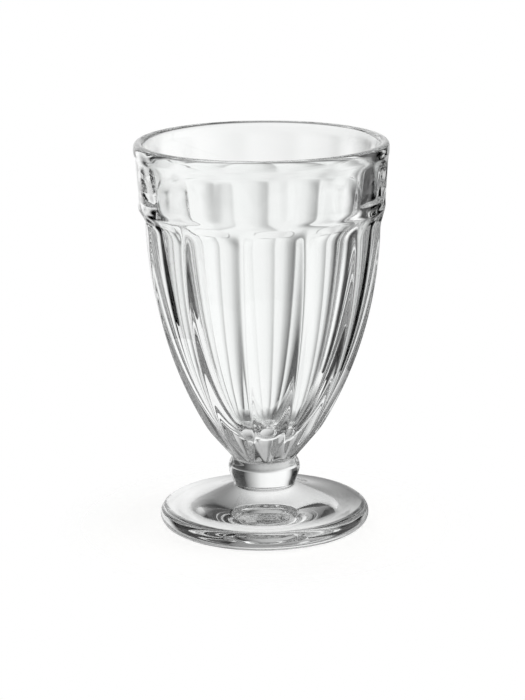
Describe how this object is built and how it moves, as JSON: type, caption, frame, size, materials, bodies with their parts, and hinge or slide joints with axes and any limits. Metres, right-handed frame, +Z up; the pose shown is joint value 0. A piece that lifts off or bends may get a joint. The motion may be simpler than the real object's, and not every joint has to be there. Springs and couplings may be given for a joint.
{
  "type": "parfait glass",
  "caption": "Footed parfait glass of clear pressed glass: a tall bowl with two tiers of scooped flutes and a smooth round lip, on a short swelling collar and a wide round foot.",
  "frame": {"origin": "centre of the foot's resting ring, on the surface that the glass stands on", "axes": "+Z up along the axis of the glass; -Y towards the camera of the picture, +X to its right"},
  "size_m": [0.0914, 0.0914, 0.142],
  "materials": {
    "clear_glass": "fire-polished, clear"
  },
  "bodies": {
    "root": {"foot": "clear_glass", "collar": "clear_glass", "bowl": "clear_glass"}
  },
  "joints": []
}
